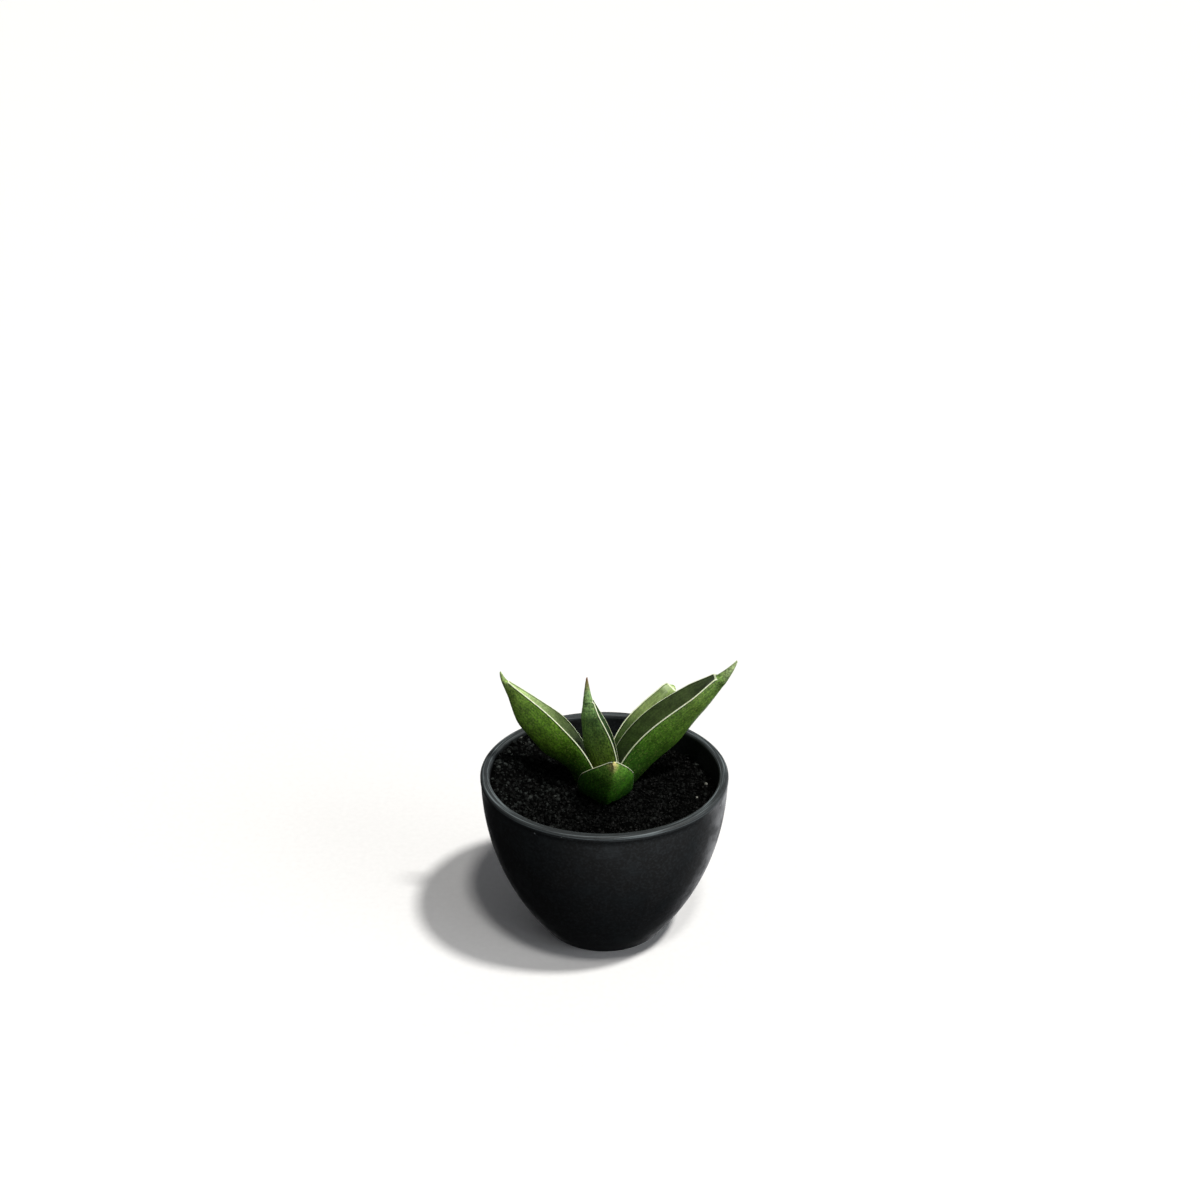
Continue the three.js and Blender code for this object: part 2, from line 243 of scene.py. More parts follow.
# %% [markdown]
# ## The pot's finish
# The real one looks like polypropylene, injection moulded in a mould with a fine matt texture, which
# is drawn about a millimetre coarse here, because a finer one would not show at this distance. The
# skin is charcoal and scatters light softly, so its highlights are broad, dim and a little cloudy.
# Handling has rubbed faint streaks round it, dust has settled on the rim and thins out below it, and
# a few pale grains have scuffed the edge. The streaks are noise over the distance from the axis and
# the height, so that they run round the pot, and they drift slowly so that they end. Dust follows
# the height near the rim, and scuffs are the rare cells of a small cell pattern.

# %% Patterns on the pot
# Sizes in millimetres.
MOULD_TEXTURE = 1.1
STREAK_WIDTH = 0.5
STREAK_DRIFT = 26
CLOUD_WIDTH = 13


def pot_patterns(tree, place, height):
    """Streaks that run round the pot, broad clouds, and the grain of the mould."""
    flat = add(tree, "VectorMath", (place, (1, 1, 0)), **TIMES)
    ring = add(tree, "CombineXYZ", (add(tree, "VectorMath", (flat,), operation="LENGTH"), height))
    drift = add(tree, "VectorMath", (place, (1000 / STREAK_DRIFT,) * 3), **TIMES)
    along_ring = add(tree, "VectorMath", (ring, (1000 / STREAK_WIDTH,) * 3, drift),
                     operation="MULTIPLY_ADD")
    streaks = add(tree, "TexNoise", {"Vector": along_ring, "Scale": 1.0, "Detail": 3.0})
    clouds = add(tree, "TexNoise", {
        "Vector": place, "Scale": 1000 / CLOUD_WIDTH, "Detail": 7.0, "Roughness": 0.72})
    grain = add(tree, "TexNoise", {"Vector": place, "Scale": 1000 / MOULD_TEXTURE, "Detail": 2.0})
    return streaks, clouds, grain


print("pot patterns:", MOULD_TEXTURE, "mm grain and", CLOUD_WIDTH, "mm clouds")


# %% Scuffs
SCUFF_SIZE = 2.6
SCUFFED_HEIGHTS = (POT_HEIGHT - 9 * MM, POT_HEIGHT - 3 * MM)


def scuff_places(tree, place, height):
    """A mask of rare small specks just under the rim."""
    cells = add(tree, "TexVoronoi", {"Vector": place, "Scale": 1000 / SCUFF_SIZE})
    draw = add(tree, "SeparateColor", (cells.outputs["Color"],)).outputs["Red"]
    rare = add(tree, "MapRange", (draw, 0.95, 0.96), **STEP)
    spot = add(tree, "MapRange", (cells.outputs["Distance"], 0.08, 0.2, 1.0, 0.0), **STEP)
    high = add(tree, "MapRange", (height, *SCUFFED_HEIGHTS), **STEP)
    return add(tree, "Math", (add(tree, "Math", (rare, spot), **TIMES), high), **TIMES)


print("scuffs up to", round(0.4 * SCUFF_SIZE, 1), "mm wide")


# %% The pot's finish
DUST_DEPTH = 12 * MM
RIM_DEPTH = 2.4 * MM
RIM_ROUGHNESS = 0.68


def moulded_polypropylene():
    material, tree = new_material("moulded_matt_polypropylene")
    place = add(tree, "TexCoord").outputs["Object"]
    height = add(tree, "SeparateXYZ", (place,)).outputs["Z"]
    streaks, clouds, grain = pot_patterns(tree, place, height)
    body = add(tree, "ValToRGB", (clouds,), ((0.34, "#060707"), (0.5, "#0d0f10"), (0.66, "#1f2426")))
    streaky = add(tree, "MapRange", (streaks, 0.52, 0.75, 0.0, 0.22), **STEP)
    streaked = add(tree, "Mix", (streaky, body, "#24282a"), **BLEND)
    speckle = add(tree, "MapRange", (grain, 0.46, 0.66, 0.0, 0.55), **STEP)
    specked = add(tree, "Mix", (speckle, streaked, "#2c3134"), **BLEND)

    on_rim = add(tree, "MapRange", (height, POT_HEIGHT - RIM_DEPTH, POT_HEIGHT - 0.2 * MM), **STEP)
    below = add(tree, "MapRange", (height, POT_HEIGHT - DUST_DEPTH, POT_HEIGHT, 0.0, 0.16), **STEP)
    patchy = add(tree, "MapRange", (clouds, 0.35, 0.65, 0.35, 0.9), **STEP)
    dust = add(tree, "Math", (add(tree, "Math", (on_rim, below), operation="MAXIMUM"), patchy), **TIMES)
    dusty = add(tree, "Mix", (dust, specked, "#2c3133"), **BLEND)
    rub = add(tree, "MapRange", (streaks, 0.5, 0.64), **STEP)
    rubbed = add(tree, "Mix", (add(tree, "Math", (rub, on_rim), **TIMES), dusty, "#656e71"), **BLEND)

    relief = add(tree, "Math", (grain, streaks), operation="ADD")
    skin = add(tree, "MapRange", (clouds, 0.38, 0.62, 0.6, 0.4), **STEP)
    shader = add(tree, "BsdfPrincipled", {
        "Base Color": add(tree, "Mix", (
            scuff_places(tree, place, height), rubbed, "#8f9598"), **BLEND),
        "Roughness": add(tree, "MapRange", (on_rim, 0.0, 1.0, skin, RIM_ROUGHNESS)),
        "IOR": 1.49,
        "Normal": add(tree, "Bump", {"Height": relief, "Strength": 0.5, "Distance": 0.06 * MM})})
    add(tree, "OutputMaterial", (shader,))
    return material


pot = finish_piece(pot_bm, "pot_body", "pot", moulded_polypropylene())

# %% [markdown]
# ## Drain holes
# Four round holes through the flat underside let water out. They are cut with a Boolean modifier,
# which is applied at once so that the finished pot is one plain mesh, and the drills are deleted. The
# edges of the holes are then marked sharp, so that the flat underside is shaded flat.

# %% Drill the drain holes
DRAIN_RADIUS = 3.5 * MM
DRAIN_CIRCLE = 14 * MM
DRAIN_COUNT = 4
SHARP_ANGLE = 35


def drill(piece, places, radius, depth):
    """Cuts round upright holes right through a piece's floor."""
    bm = bmesh.new()
    for x, y in places:
        bmesh.ops.create_cone(bm, cap_ends=True, segments=40, radius1=radius, radius2=radius,
                              depth=depth, matrix=Matrix.Translation((x, y, 0)))
    mesh = bpy.data.meshes.new("drills")
    bm.to_mesh(mesh)
    bm.free()
    tool = bpy.data.objects.new("drills", mesh)
    bpy.context.collection.objects.link(tool)
    cut = piece.modifiers.new("drain holes", "BOOLEAN")
    cut.object = tool
    cut.operation = "DIFFERENCE"
    cut.solver = "EXACT"
    done = bpy.data.meshes.new_from_object(piece.evaluated_get(bpy.context.evaluated_depsgraph_get()))
    done.set_sharp_from_angle(angle=math.radians(SHARP_ANGLE))
    piece.modifiers.clear()
    piece.data = done
    bpy.data.objects.remove(tool)


hole_turns = [math.radians(45 + 360 * i / DRAIN_COUNT) for i in range(DRAIN_COUNT)]
drill(pot, [(DRAIN_CIRCLE * math.cos(a), DRAIN_CIRCLE * math.sin(a)) for a in hole_turns],
      DRAIN_RADIUS, 3 * FLOOR)
print("pot after drilling:", len(pot.data.polygons), "faces")

# %% [markdown]
# ## The soil's surface
# The plant stands in fine black grit. The bed is almost level, about 11 mm under the rim, and it is
# banked up against the wall on the left. A spun solid fills the pot, and its top is then moved up
# and down: first by the bank, then by low rolling lumps, and last by a fine noise that keeps the
# surface from looking smooth between the grains.

# %% Height of the bed
SOIL_LEVEL = 64.8 * MM
SOIL_BANK = 9.4 * MM
BANK_HEADING = 152
BANK_REACH = (24 * MM, 49 * MM)
BANK_HALF_TURN = (12, 62)
# Each lump is a wave: its length in millimetres, its heading in degrees, its rise in millimetres.
LUMPS = ((10.3, 20, 0.22), (9.1, 95, 0.2), (7.4, 155, 0.17), (6.2, 58, 0.14))
SOIL_GAP = 0.3 * MM


def step_between(value, low, high):
    share = min(max((value - low) / (high - low), 0), 1)
    return share * share * (3 - 2 * share)


def soil_height(x, y):
    heading = math.degrees(math.atan2(y, x))
    off = abs((heading - BANK_HEADING + 180) % 360 - 180)
    bank = step_between(math.hypot(x, y), *BANK_REACH) * (1 - step_between(off, *BANK_HALF_TURN))
    height = SOIL_LEVEL + SOIL_BANK * bank
    for length, turn, rise in LUMPS:
        along = x * math.cos(math.radians(turn)) + y * math.sin(math.radians(turn))
        height += rise * MM * math.sin(2 * math.pi * along / (length * MM))
    return height


print("bed is", round(1000 * (POT_HEIGHT - soil_height(0.03, 0)), 1), "mm under the rim on the right and",
      round(1000 * (POT_HEIGHT - soil_height(-0.046, 0.012)), 1), "mm on the left")

# %% Spin and roughen the bed
BED_RINGS = 60
BED_STEPS = 160
ROUGH_SIZE = 1.8
ROUGH_RISE = 0.45 * MM

soil_wall = WALL + SOIL_GAP
bed_edge = inset_radius(SOIL_LEVEL, soil_wall)
bed_side = [(inset_radius(z, soil_wall), z) for z in levels(FLOOR + SOIL_GAP, SOIL_LEVEL - 2 * MM, 12)]
bed_top = [(bed_edge * (1 - i / BED_RINGS), SOIL_LEVEL) for i in range(BED_RINGS + 1)]
bed_bm = spun([(0, FLOOR + SOIL_GAP)] + bed_side + bed_top, BED_STEPS)
for vert in bed_bm.verts:
    if vert.co.z > SOIL_LEVEL - 1 * MM:
        x, y = vert.co.x, vert.co.y
        rough = noise.noise(Vector((x, y, 0)) * (1000 / ROUGH_SIZE))
        rough += 0.6 * noise.noise(Vector((x, y, 0.4)) * (2200 / ROUGH_SIZE))
        z = soil_height(x, y) + ROUGH_RISE * rough
        if math.hypot(x, y) > bed_edge - 0.3 * MM:
            spread = inset_radius(z, soil_wall) / bed_edge
            vert.co.x, vert.co.y = x * spread, y * spread
        vert.co.z = z
print("bed:", len(bed_bm.faces), "faces")

# %% [markdown]
# ## Loose grains
# A handful of grit is thousands of small angular stones. One twenty-sided ball is made, and the heap
# is doubled again and again, which is far quicker than making each stone by itself. Then each is
# squashed, turned and knocked out of true, dropped on the bed and sunk a little. Each stone keeps its
# own tint in a vertex attribute that the finish reads: most are black, some grey, a few pale. The
# first few stones are long chips of bark with places of their own.

# %% Make the heap
GRAIN_DOUBLINGS = 13
GRAIN_CORNERS = 12

heap_bm = bmesh.new()
bmesh.ops.create_icosphere(heap_bm, subdivisions=1, radius=1)
for doubling in range(GRAIN_DOUBLINGS):
    bmesh.ops.duplicate(heap_bm, geom=heap_bm.verts[:] + heap_bm.edges[:] + heap_bm.faces[:])
tint_layer = heap_bm.verts.layers.float.new("grain_tint")
heap_corners = list(heap_bm.verts)
print("heap of", len(heap_corners) // GRAIN_CORNERS, "equal stones")

# %% Scatter the grains
GRAIN_SIZES = (0.42, 1.25)
GRAIN_SKEW = 2.4
GRAIN_LIFT = 0.35
GRAIN_SEED = 7
PALE_SHARE = 0.0004
DARK_TINTS = 0.88
CHIP_WIDTH = 0.38
CHIP_DEPTH = 0.3
CHIP_LIFT = 0.9 * MM
# Place across and along in millimetres, turn in degrees, half length in millimetres, and tint.
CHIPS = (
    (41.5, 22.5, -14, 1.9, 0.9), (38, 31, 10, 1.3, 0.91), (18, -35, 25, 0.7, 0.96),
    (4.5, -27, 60, 0.5, 0.92), (-37.5, 30.5, 50, 1.2, 0.96), (-35.5, 27, 20, 0.9, 0.98),
    (-29, 33, 5, 1.1, 0.95), (-26, 34.5, 30, 0.9, 0.93), (-41, 17, 70, 1.0, 0.93),
)

dice = random.Random(GRAIN_SEED)


def on_bed(x, y, rise):
    """A point over the bed, pushed in or out as the wall is at that height."""
    spread = inset_radius(soil_height(x, y), soil_wall) / bed_edge
    return Vector((x * spread, y * spread, soil_height(x, y) + rise))


def loose_stone():
    """A random stone: its middle, its shape and its tint."""
    size = (GRAIN_SIZES[0] + (GRAIN_SIZES[1] - GRAIN_SIZES[0]) * dice.random() ** GRAIN_SKEW) * MM
    radius = (bed_edge - 0.7 * size) * math.sqrt(dice.random())
    turn = 2 * math.pi * dice.random()
    middle = on_bed(radius * math.cos(turn), radius * math.sin(turn), GRAIN_LIFT * size)
    axis = Vector((dice.random() - 0.5, dice.random() - 0.5, dice.random() - 0.5)).normalized()
    squash = Matrix.Diagonal((size, size * (0.6 + 0.4 * dice.random()),
                              size * (0.5 + 0.4 * dice.random())))
    tint = 1.0 if dice.random() < PALE_SHARE else DARK_TINTS * dice.random()
    return middle, Matrix.Rotation(2 * math.pi * dice.random(), 3, axis) @ squash, tint


def bark_chip(x, y, turn, half_length, tint):
    """A long flat chip that lies on the grit."""
    size = half_length * MM
    squash = Matrix.Diagonal((size, CHIP_WIDTH * size, CHIP_DEPTH * size))
    return on_bed(x * MM, y * MM, CHIP_LIFT), Matrix.Rotation(math.radians(turn), 3, "Z") @ squash, tint


for number in range(len(heap_corners) // GRAIN_CORNERS):
    middle, shape, tint = bark_chip(*CHIPS[number]) if number < len(CHIPS) else loose_stone()
    for vert in heap_corners[number * GRAIN_CORNERS:(number + 1) * GRAIN_CORNERS]:
        vert.co = middle + shape @ vert.co * (0.72 + 0.5 * dice.random())
        vert[tint_layer] = tint
print("grains of", 2 * GRAIN_SIZES[0], "to", 2 * GRAIN_SIZES[1], "mm and", len(CHIPS), "chips")

# %% [markdown]
# ## The grit's finish
# Black lava grit and peat dust: dry, rough stone that drinks light, with broken faces that glint. The
# tint of each grain picks its colour from a ramp, a fine noise breaks it up, and a bump gives each
# stone small pits. The dust of the bed under the grains has no tint, so it takes the darkest end.
# Away from the left bank the grit is darkened almost to black as painted shade, while the bank, which
# faces the light, keeps its own tints.

# %% The grit's finish
PIT_SIZE = 0.25
# Painted shade: the distances towards the bank over which the darkening fades out, and how much it
# darkens.
PAINTED_SHADE_REACH = (-10 * MM, 42 * MM)
PAINTED_SHADE_DEPTH = 0.8
BANK_DIRECTION = (math.cos(math.radians(BANK_HEADING)), math.sin(math.radians(BANK_HEADING)), 0)


def lava_grit(name, gloss):
    material, tree = new_material(name)
    place = add(tree, "TexCoord").outputs["Object"]
    tint = add(tree, "Attribute", attribute_name="grain_tint").outputs["Fac"]
    pits = add(tree, "TexNoise", {"Vector": place, "Scale": 1000 / PIT_SIZE, "Detail": 3.0})
    stone = add(tree, "ValToRGB", (tint,), (
        (0.0, "#030303"), (0.4, "#070807"), (0.62, "#101211"), (0.76, "#1f2221"), (0.87, "#3a3e3c"),
        (0.95, "#656965"), (1.0, "#9a9b93")))
    pitted = add(tree, "MapRange", (pits, 0.3, 0.7, 0.0, 0.5), **STEP)
    speckled = add(tree, "Mix", (pitted, stone, "#010101"), **BLEND)
    # Painted shade: grit away from the left bank is mixed towards black, sparing the pale grains and
    # chips.
    towards_bank = add(tree, "VectorMath", (place, BANK_DIRECTION), operation="DOT_PRODUCT")
    painted_shade_from_bank = add(tree, "MapRange", (
        towards_bank.outputs["Value"], *PAINTED_SHADE_REACH, PAINTED_SHADE_DEPTH, 0.0), **STEP)
    dark = add(tree, "MapRange", (tint, 0.86, 0.93, 1.0, 0.0), **STEP)
    painted_shade_on_grit = add(tree, "Math", (painted_shade_from_bank, dark), **TIMES)
    shader = add(tree, "BsdfPrincipled", {
        "Base Color": add(tree, "Mix", (painted_shade_on_grit, speckled, "#020202"), **BLEND),
        "Roughness": add(tree, "MapRange", (pits, 0.3, 0.7, 0.4, 0.75), **STEP),
        "Specular IOR Level": gloss,
        "Normal": add(tree, "Bump", {"Height": pits, "Strength": 0.5, "Distance": 0.1 * MM})})
    add(tree, "OutputMaterial", (shader,))
    return material


finish_piece(bed_bm, "soil_bed", "soil", lava_grit("peat_dust", 0.02))
finish_piece(heap_bm, "loose_grains", "soil", lava_grit("broken_lava_grit", 0.08), smooth=False)

# %% [markdown]
# ## The leaves' shape
# A leaf of this kind is a thick green sword. Its back is deep and rounded with a low keel, its face
# is a channel that points to the middle of the plant, and a narrow horny margin runs along each edge.
# Near the end the channel closes and the leaf goes on as a round spine. The solids are built the same
# way, and the sizes here follow each leaf's outline and margins more closely: foot, length, climb,
# heading, roll, and how width and depth run from foot to tip. They were first read off. Then most
# of them were adjusted by least squares to points traced on the outlines and margins.

# %% The leaves' sizes
# All lengths are in millimetres and all turns in degrees. The climb is given at its own stations.
FOOT_LEVEL = 60.0
RISE_STATIONS = (0, 0.3, 0.65, 0.86, 1)
CHANNEL_SHARE = (0.35, 0.42, 0.45, 0.3, 0, -0.05)
LEAVES = {
    "leaf_back": dict(
        foot=(6.5, 14), length=55.4, rise=(90, 56.3, 31, 28.4, 2), heading=(47.3, 45.4),
        roll=(4.4, 29.2), width=15.3, depth=12, stations=(0, 0.2, 0.45, 0.7, 0.97, 1),
        width_share=(0.9, 1.06, 1, 0.76, 0.467, 0.5), depth_share=(0.75, 0.95, 1, 0.75, 0.45, 0.35),
        tip_round=4, keel=0.2),
    "leaf_centre": dict(
        foot=(6.7, 8), length=60, rise=(90, 81, 63.3, 77.6, 81.2), heading=(179, 183.8),
        roll=(-1, 5.5), width=12.4, depth=12.5, stations=(0, 0.2, 0.45, 0.7, 0.8, 1),
        width_share=(0.9, 1.02, 1, 0.87, 0.3, 0.03), depth_share=(0.95, 0.96, 1, 0.65, 0.38, 0.04),
        tip_round=0.5, keel=1.0),
    "leaf_right": dict(
        foot=(2.3, 9.7), length=87.4, rise=(90, 55.4, 35.1, 35.2, 46.7), heading=(2.4, 1.9),
        roll=(2.5, 1.7), width=16.9, depth=17.2, stations=(0, 0.2, 0.45, 0.7, 0.862, 1),
        width_share=(0.9, 1.03, 1, 0.82, 0.315, 0.03), depth_share=(0.57, 0.86, 1, 0.67, 0.36, 0.04),
        tip_round=0.5, keel=0.2),
    "leaf_left": dict(
        foot=(-3.8, 10.4), length=75.4, rise=(91.4, 62, 42.2, 39.4, 67), heading=(187.2, 181.3),
        roll=(3.4, 2.2), width=17, depth=15.9, stations=(0, 0.2, 0.45, 0.68, 0.92, 1),
        width_share=(0.9, 1.07, 1, 0.515, 0.15, 0.03), depth_share=(0.54, 0.65, 0.98, 0.85, 0.2, 0.04),
        tip_round=0.5, keel=0.2),
    "leaf_front": dict(
        foot=(0.1, 1.5), length=42.9, rise=(90, 56, 43.6, 47.2, 35), heading=(-83.5, -79),
        roll=(-7.5, -2), width=23.2, depth=11, stations=(0, 0.2, 0.45, 0.7, 0.97, 1),
        width_share=(0.8, 1.05, 1, 0.71, 0.08, 0.04), depth_share=(0.8, 0.95, 1, 0.75, 0.2, 0.07),
        tip_round=0.8, keel=1.0),
}
print(len(LEAVES), "leaves, the longest", max(leaf["length"] for leaf in LEAVES.values()), "mm")


# %% Follow the middle line
def through(stations, values, t):
    """A smooth curve through the stations that never overshoots them."""
    last = len(stations) - 1

    def slope(i):
        return (values[i + 1] - values[i]) / (stations[i + 1] - stations[i])

    def tangent(i):
        before, after = slope(max(i - 1, 0)), slope(min(i, last - 1))
        return 0 if before * after <= 0 else 2 * before * after / (before + after)

    i = max(i for i in range(last) if t >= stations[i])
    span = stations[i + 1] - stations[i]
    s = (t - stations[i]) / span
    return ((2 * s ** 3 - 3 * s ** 2 + 1) * values[i] + (s ** 3 - 2 * s ** 2 + s) * span * tangent(i)
            + (3 * s ** 2 - 2 * s ** 3) * values[i + 1] + (s ** 3 - s ** 2) * span * tangent(i + 1))


def middle_line(leaf, count):
    """Points along the leaf's middle line in millimetres, each with its three directions."""
    point = Vector((*leaf["foot"], FOOT_LEVEL))
    line = []
    for i in range(count + 1):
        t = i / count
        climb = math.radians(through(RISE_STATIONS, leaf["rise"], t))
        heading = math.radians(leaf["heading"][0] + (leaf["heading"][1] - leaf["heading"][0]) * t)
        roll = math.radians(leaf["roll"][0] + (leaf["roll"][1] - leaf["roll"][0]) * t)
        along = Vector((math.cos(climb) * math.cos(heading), math.cos(climb) * math.sin(heading),
                        math.sin(climb)))
        side = Matrix.Rotation(roll, 3, along) @ Vector((-math.sin(heading), math.cos(heading), 0))
        if line:
            point = point + (along + line[-1][1]) * (leaf["length"] / count / 2)
        line.append((point, along, side, along.cross(side)))
    return line


print("tip of the right leaf at", [round(v, 1) for v in middle_line(LEAVES["leaf_right"], 400)[-1][0]])

# %% [markdown]
# The section is drawn for one half, from the keel round the edge to the middle of the channel, and
# mirrored. The edge is a round bead of horn that stands a little proud of the green skin. Every
# corner also gets its distance from the middle of that bead, measured along the skin, so that the
# finish can draw a margin of even width however the leaf narrows. A leaf with a sharp keel has a
# straighter back. Where the channel ends, the section turns round, so that the beads close round it.

# %% The section of a leaf
BACK_POINTS = 15
BEAD_POINTS = 8
FACE_POINTS = 9
BEAD_RADIUS = 0.34
BEAD_PROUD = 0.1
BEAD_TURNS = (-55, 145)
BEAD_START = 0.57


def half_section(width, depth, channel, lip, keel, roundness):
    """Corners from the keel to the channel's middle: across, outwards, distance from the bead."""
    half = width / 2
    bead = BEAD_RADIUS * lip
    bead_middle = half + BEAD_PROUD * lip - bead
    back_turns = [math.pi / 2 * i / BACK_POINTS for i in range(BACK_POINTS)]
    across = 1.5 - 0.4 * keel
    fall = 0.6 + 0.25 * keel
    back = [(half * math.sin(a), -depth * (1 - math.sin(a) ** across) ** fall) for a in back_turns]
    back = [(min(u, bead_middle + BEAD_START * bead), min(v, -bead)) for u, v in back]
    edge = arc(bead_middle, 0, bead, *BEAD_TURNS, BEAD_POINTS - 1)
    face = bead_middle - 1.35 * bead
    face_turns = [math.pi / 2 * (1 - i / FACE_POINTS) for i in range(FACE_POINTS + 1)]
    front = [(face * math.sin(a), -0.15 * lip - channel * (1 - math.sin(a) ** 1.5)) for a in face_turns]
    corners = back + edge + front
    top_of_bead = BACK_POINTS + BEAD_POINTS // 2
    skin = [0.0]
    for (u0, v0), (u1, v1) in zip(corners, corners[1:]):
        skin.append(skin[-1] + math.hypot(u1 - u0, v1 - v0))
    for number, length in enumerate(skin):
        turn = math.pi * (length / skin[-1] - 0.5)
        u, v = corners[number]
        corners[number] = (u + (half * math.cos(turn) - u) * roundness,
                           v + (depth * (math.sin(turn) - 1) / 2 - v) * roundness)
    return [(u, v, skin[top_of_bead] - s) for (u, v), s in zip(corners, skin)]


def whole_section(width, depth, channel, lip, keel=0.0, roundness=0.0):
    """The closed outline, counter-clockwise from the keel."""
    right = half_section(width, depth, channel, lip, keel, roundness)
    left = [(-u, v, s) for u, v, s in right[1:-1]]
    return right + left[::-1]


section_size = len(whole_section(10, 8, 3, 1))
print("a leaf section has", section_size, "corners")


# %% One ring of a leaf
END_SHARES = (0.006, 0.018)
POINT_CLOSE = 0.985


def leaf_ring(leaf, t):
    """The section at a share t of the leaf's length."""
    tail = max(0, 1 - (1 - t) * leaf["length"] / leaf["tip_round"])
    close = math.sqrt(1 - (POINT_CLOSE * tail) ** 2)
    width = leaf["width"] * through(leaf["stations"], leaf["width_share"], t) * close
    depth = leaf["depth"] * through(leaf["stations"], leaf["depth_share"], t) * close
    channel = depth * through(leaf["stations"], CHANNEL_SHARE, t)
    channel_end = leaf["stations"][-2]
    roundness = step_between(t, channel_end - END_SHARES[0], channel_end + END_SHARES[1])
    lip = min(1, width / 4) * (1 - roundness)
    return whole_section(width, depth, channel, lip, leaf["keel"] * (1 - t), roundness)


print("ring of the right leaf half way up:", len(leaf_ring(LEAVES["leaf_right"], 0.5)), "corners")

# %% [markdown]
# A plain cylinder is cut into rings along its height, and each ring is then carried to the leaf's
# section at that height. That way the operators make the faces, and the lesson only says where
# each ring goes. Three numbers are kept at each corner for the finish: the share of the length, the
# distance from the bead, and the distance from the foot.

# %% Make a leaf
RINGS = 120
WALK_STEPS = 480
TIP_CROWDING = 1.25
WAVE_RISE = 0.14
WAVE_LENGTH = 11.0


def make_leaf(name, material):
    leaf = LEAVES[name]
    line = middle_line(leaf, WALK_STEPS)
    bm = bmesh.new()
    bmesh.ops.create_cone(bm, cap_ends=True, segments=section_size, radius1=1, radius2=1, depth=1)
    upright = [e for e in bm.edges if abs(e.verts[0].co.z - e.verts[1].co.z) > 0.5]
    bmesh.ops.subdivide_edges(bm, edges=upright, cuts=RINGS - 1, use_grid_fill=True)
    place_layer = bm.verts.layers.float_vector.new("leaf_place")
    rings = {}
    for vert in bm.verts:
        rings.setdefault(round((vert.co.z + 0.5) * RINGS), []).append(vert)
    for number, ring in rings.items():
        t = 1 - (1 - number / RINGS) ** TIP_CROWDING
        point, along, side, out = line[round(t * WALK_STEPS)]
        corners = leaf_ring(leaf, t)
        widest = max(u for u, v, s in corners)
        from_foot = t * leaf["length"]
        for vert in ring:
            turn = round(math.atan2(vert.co.y, vert.co.x) / (2 * math.pi) * section_size)
            u, v, from_bead = corners[turn % section_size]
            bend = noise.noise(Vector((math.copysign(3, u), from_foot / WAVE_LENGTH, leaf["length"])))
            u *= 1 + WAVE_RISE * bend / max(widest, 2)
            vert.co = (point + side * u + out * v) * MM
            vert[place_layer] = (t, from_bead, from_foot)
    return finish_piece(bm, name + "_skin", name, material)


print("leaf maker ready")

# %% [markdown]
# ## The leaves' finish
# Living leaf skin with a thin wax bloom: half gloss, green, and mottled, because pale cells show
# through the skin in fine flecks that are drawn out a little along the leaf. The back carries most
# flecks, the face is smoother and greyer, the foot is darkened where it goes into the soil, partly by
# soil on it and partly as painted shade, and the spine grows paler towards its point. The margin is a
# cream horn bead with a thin dark line beside it, partly the margin's own colour and partly painted
# shade along the bead. The finish reads where it is from the attribute made with the leaf, so a ramp
# along the leaf gives each stretch its green. Flecks come from object coordinates turned to the leaf's
# own direction, so nothing slides and no seam shows.

# %% [markdown]
# The greens were set leaf by leaf, and changed until small patches of the render had about
# the same mean colour as in the picture. The back of a leaf is a fuller green than its face, and the
# face of the left leaf grows pale towards its end, where it is turned to the light.

# %% Greens along each leaf
# Each row runs from the foot to the tip, and the places say how far up the leaf each green lies.
GREEN_PLACES = (0.12, 0.3, 0.5, 0.7, 0.88, 1.0)
GREENS = {
    "leaf_back": dict(
        back=("#24401a", "#3f6224", "#6b8c38", "#8aa650", "#8fa85a", "#9db472"),
        face=("#1c2e14", "#2e431c", "#465c2c", "#849858", "#6f8548", "#86a052")),
    "leaf_centre": dict(
        back=("#9c942c", "#708e2e", "#66883a", "#648a4a", "#84a668", "#8a5a3c"),
        face=("#1c2d12", "#22361a", "#2a4220", "#3c5a30", "#55783f", "#6a7a46")),
    "leaf_right": dict(
        back=("#2c4f16", "#3c6a1c", "#5c8a2a", "#64862f", "#688a40", "#c0d29c"),
        face=("#2c3c1e", "#364a20", "#405228", "#495a32", "#3e4c34", "#8aa668")),
    "leaf_left": dict(
        back=("#26480f", "#3f6a16", "#5f8a22", "#66902a", "#76983c", "#a5bd78"),
        face=("#26331f", "#3b4633", "#5f7245", "#a5bd78", "#b8cf8c", "#b4cc88")),
    "leaf_front": dict(
        back=("#1c4412", "#2c6416", "#3e7c18", "#487f24", "#5c8a30", "#e6d790"),
        face=("#22361a", "#2c4420", "#3d5a2c", "#4a6a34", "#5a7c3c", "#c9cf90")),
}
print("greens for", len(GREENS), "leaves")


def leaf_direction(name):
    """How the leaf's own frame is turned: its Z axis runs from the foot to the tip."""
    line = middle_line(LEAVES[name], 60)
    return (line[-1][0] - line[0][0]).to_track_quat("Z", "Y").to_euler()


# %% Patterns in the skin
# Sizes in millimetres. The flecks of the real skin are finer than a picture from here can show, so
# they are drawn about as coarse as the finest that it does show.
FLECK_SIZE = 0.75
FLECK_STRETCH = 1.25
CLOUD_SIZE = 4.0
DOT_SPACING = 1.1
LINE_WIDTH = 0.8


